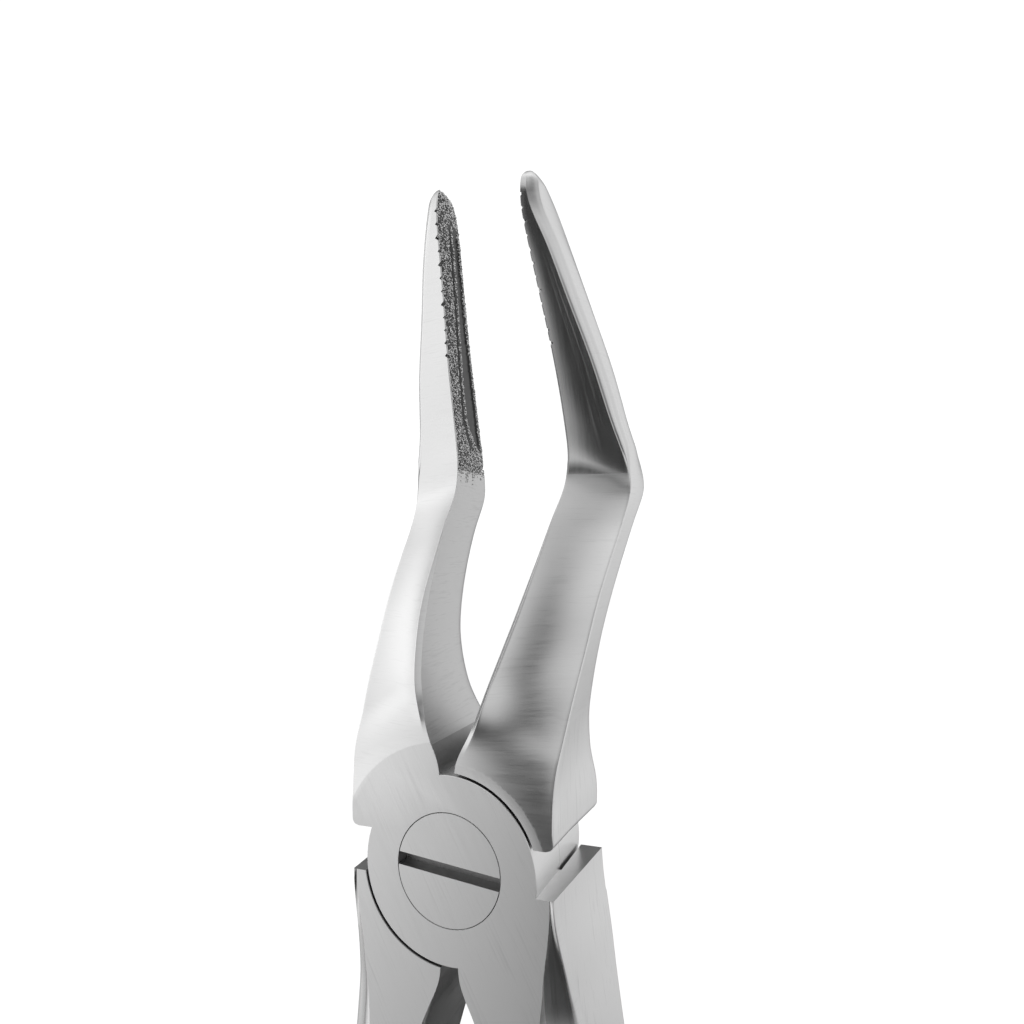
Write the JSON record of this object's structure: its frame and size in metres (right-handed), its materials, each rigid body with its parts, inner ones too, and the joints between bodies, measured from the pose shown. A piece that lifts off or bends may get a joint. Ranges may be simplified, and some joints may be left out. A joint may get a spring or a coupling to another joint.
{
  "type": "extraction forceps",
  "caption": "Bayonet root-tip extraction forceps: crossed steel halves on a slotted pivot screw, slender grit-lined jaws, bowed grooved handles.",
  "frame": {"origin": "pivot axis at the ground back face of the lap joint, in the flush end of the pivot screw", "axes": "+Z along the forceps towards the jaw tips; +Y along the pivot axis away from the slotted head, the way the jaws are offset; +X the side that the back half's jaw opens to"},
  "size_m": [0.0472, 0.0233, 0.1818],
  "materials": {
    "forging": "satin",
    "screw": "satin",
    "grit": "textured"
  },
  "bodies": {
    "back_body": {"back_half": "forging", "pivot_screw": "screw", "grit_lining_right": "grit"},
    "front_body": {"front_half": "forging", "grit_lining_left": "grit"}
  },
  "joints": [
    {"name": "jaw_hinge", "type": "hinge", "parent": "back_body", "child": "front_body", "pos_m": [0, 0, 0], "axis": [0, -1, 0], "range_deg": [-8, 20]}
  ]
}
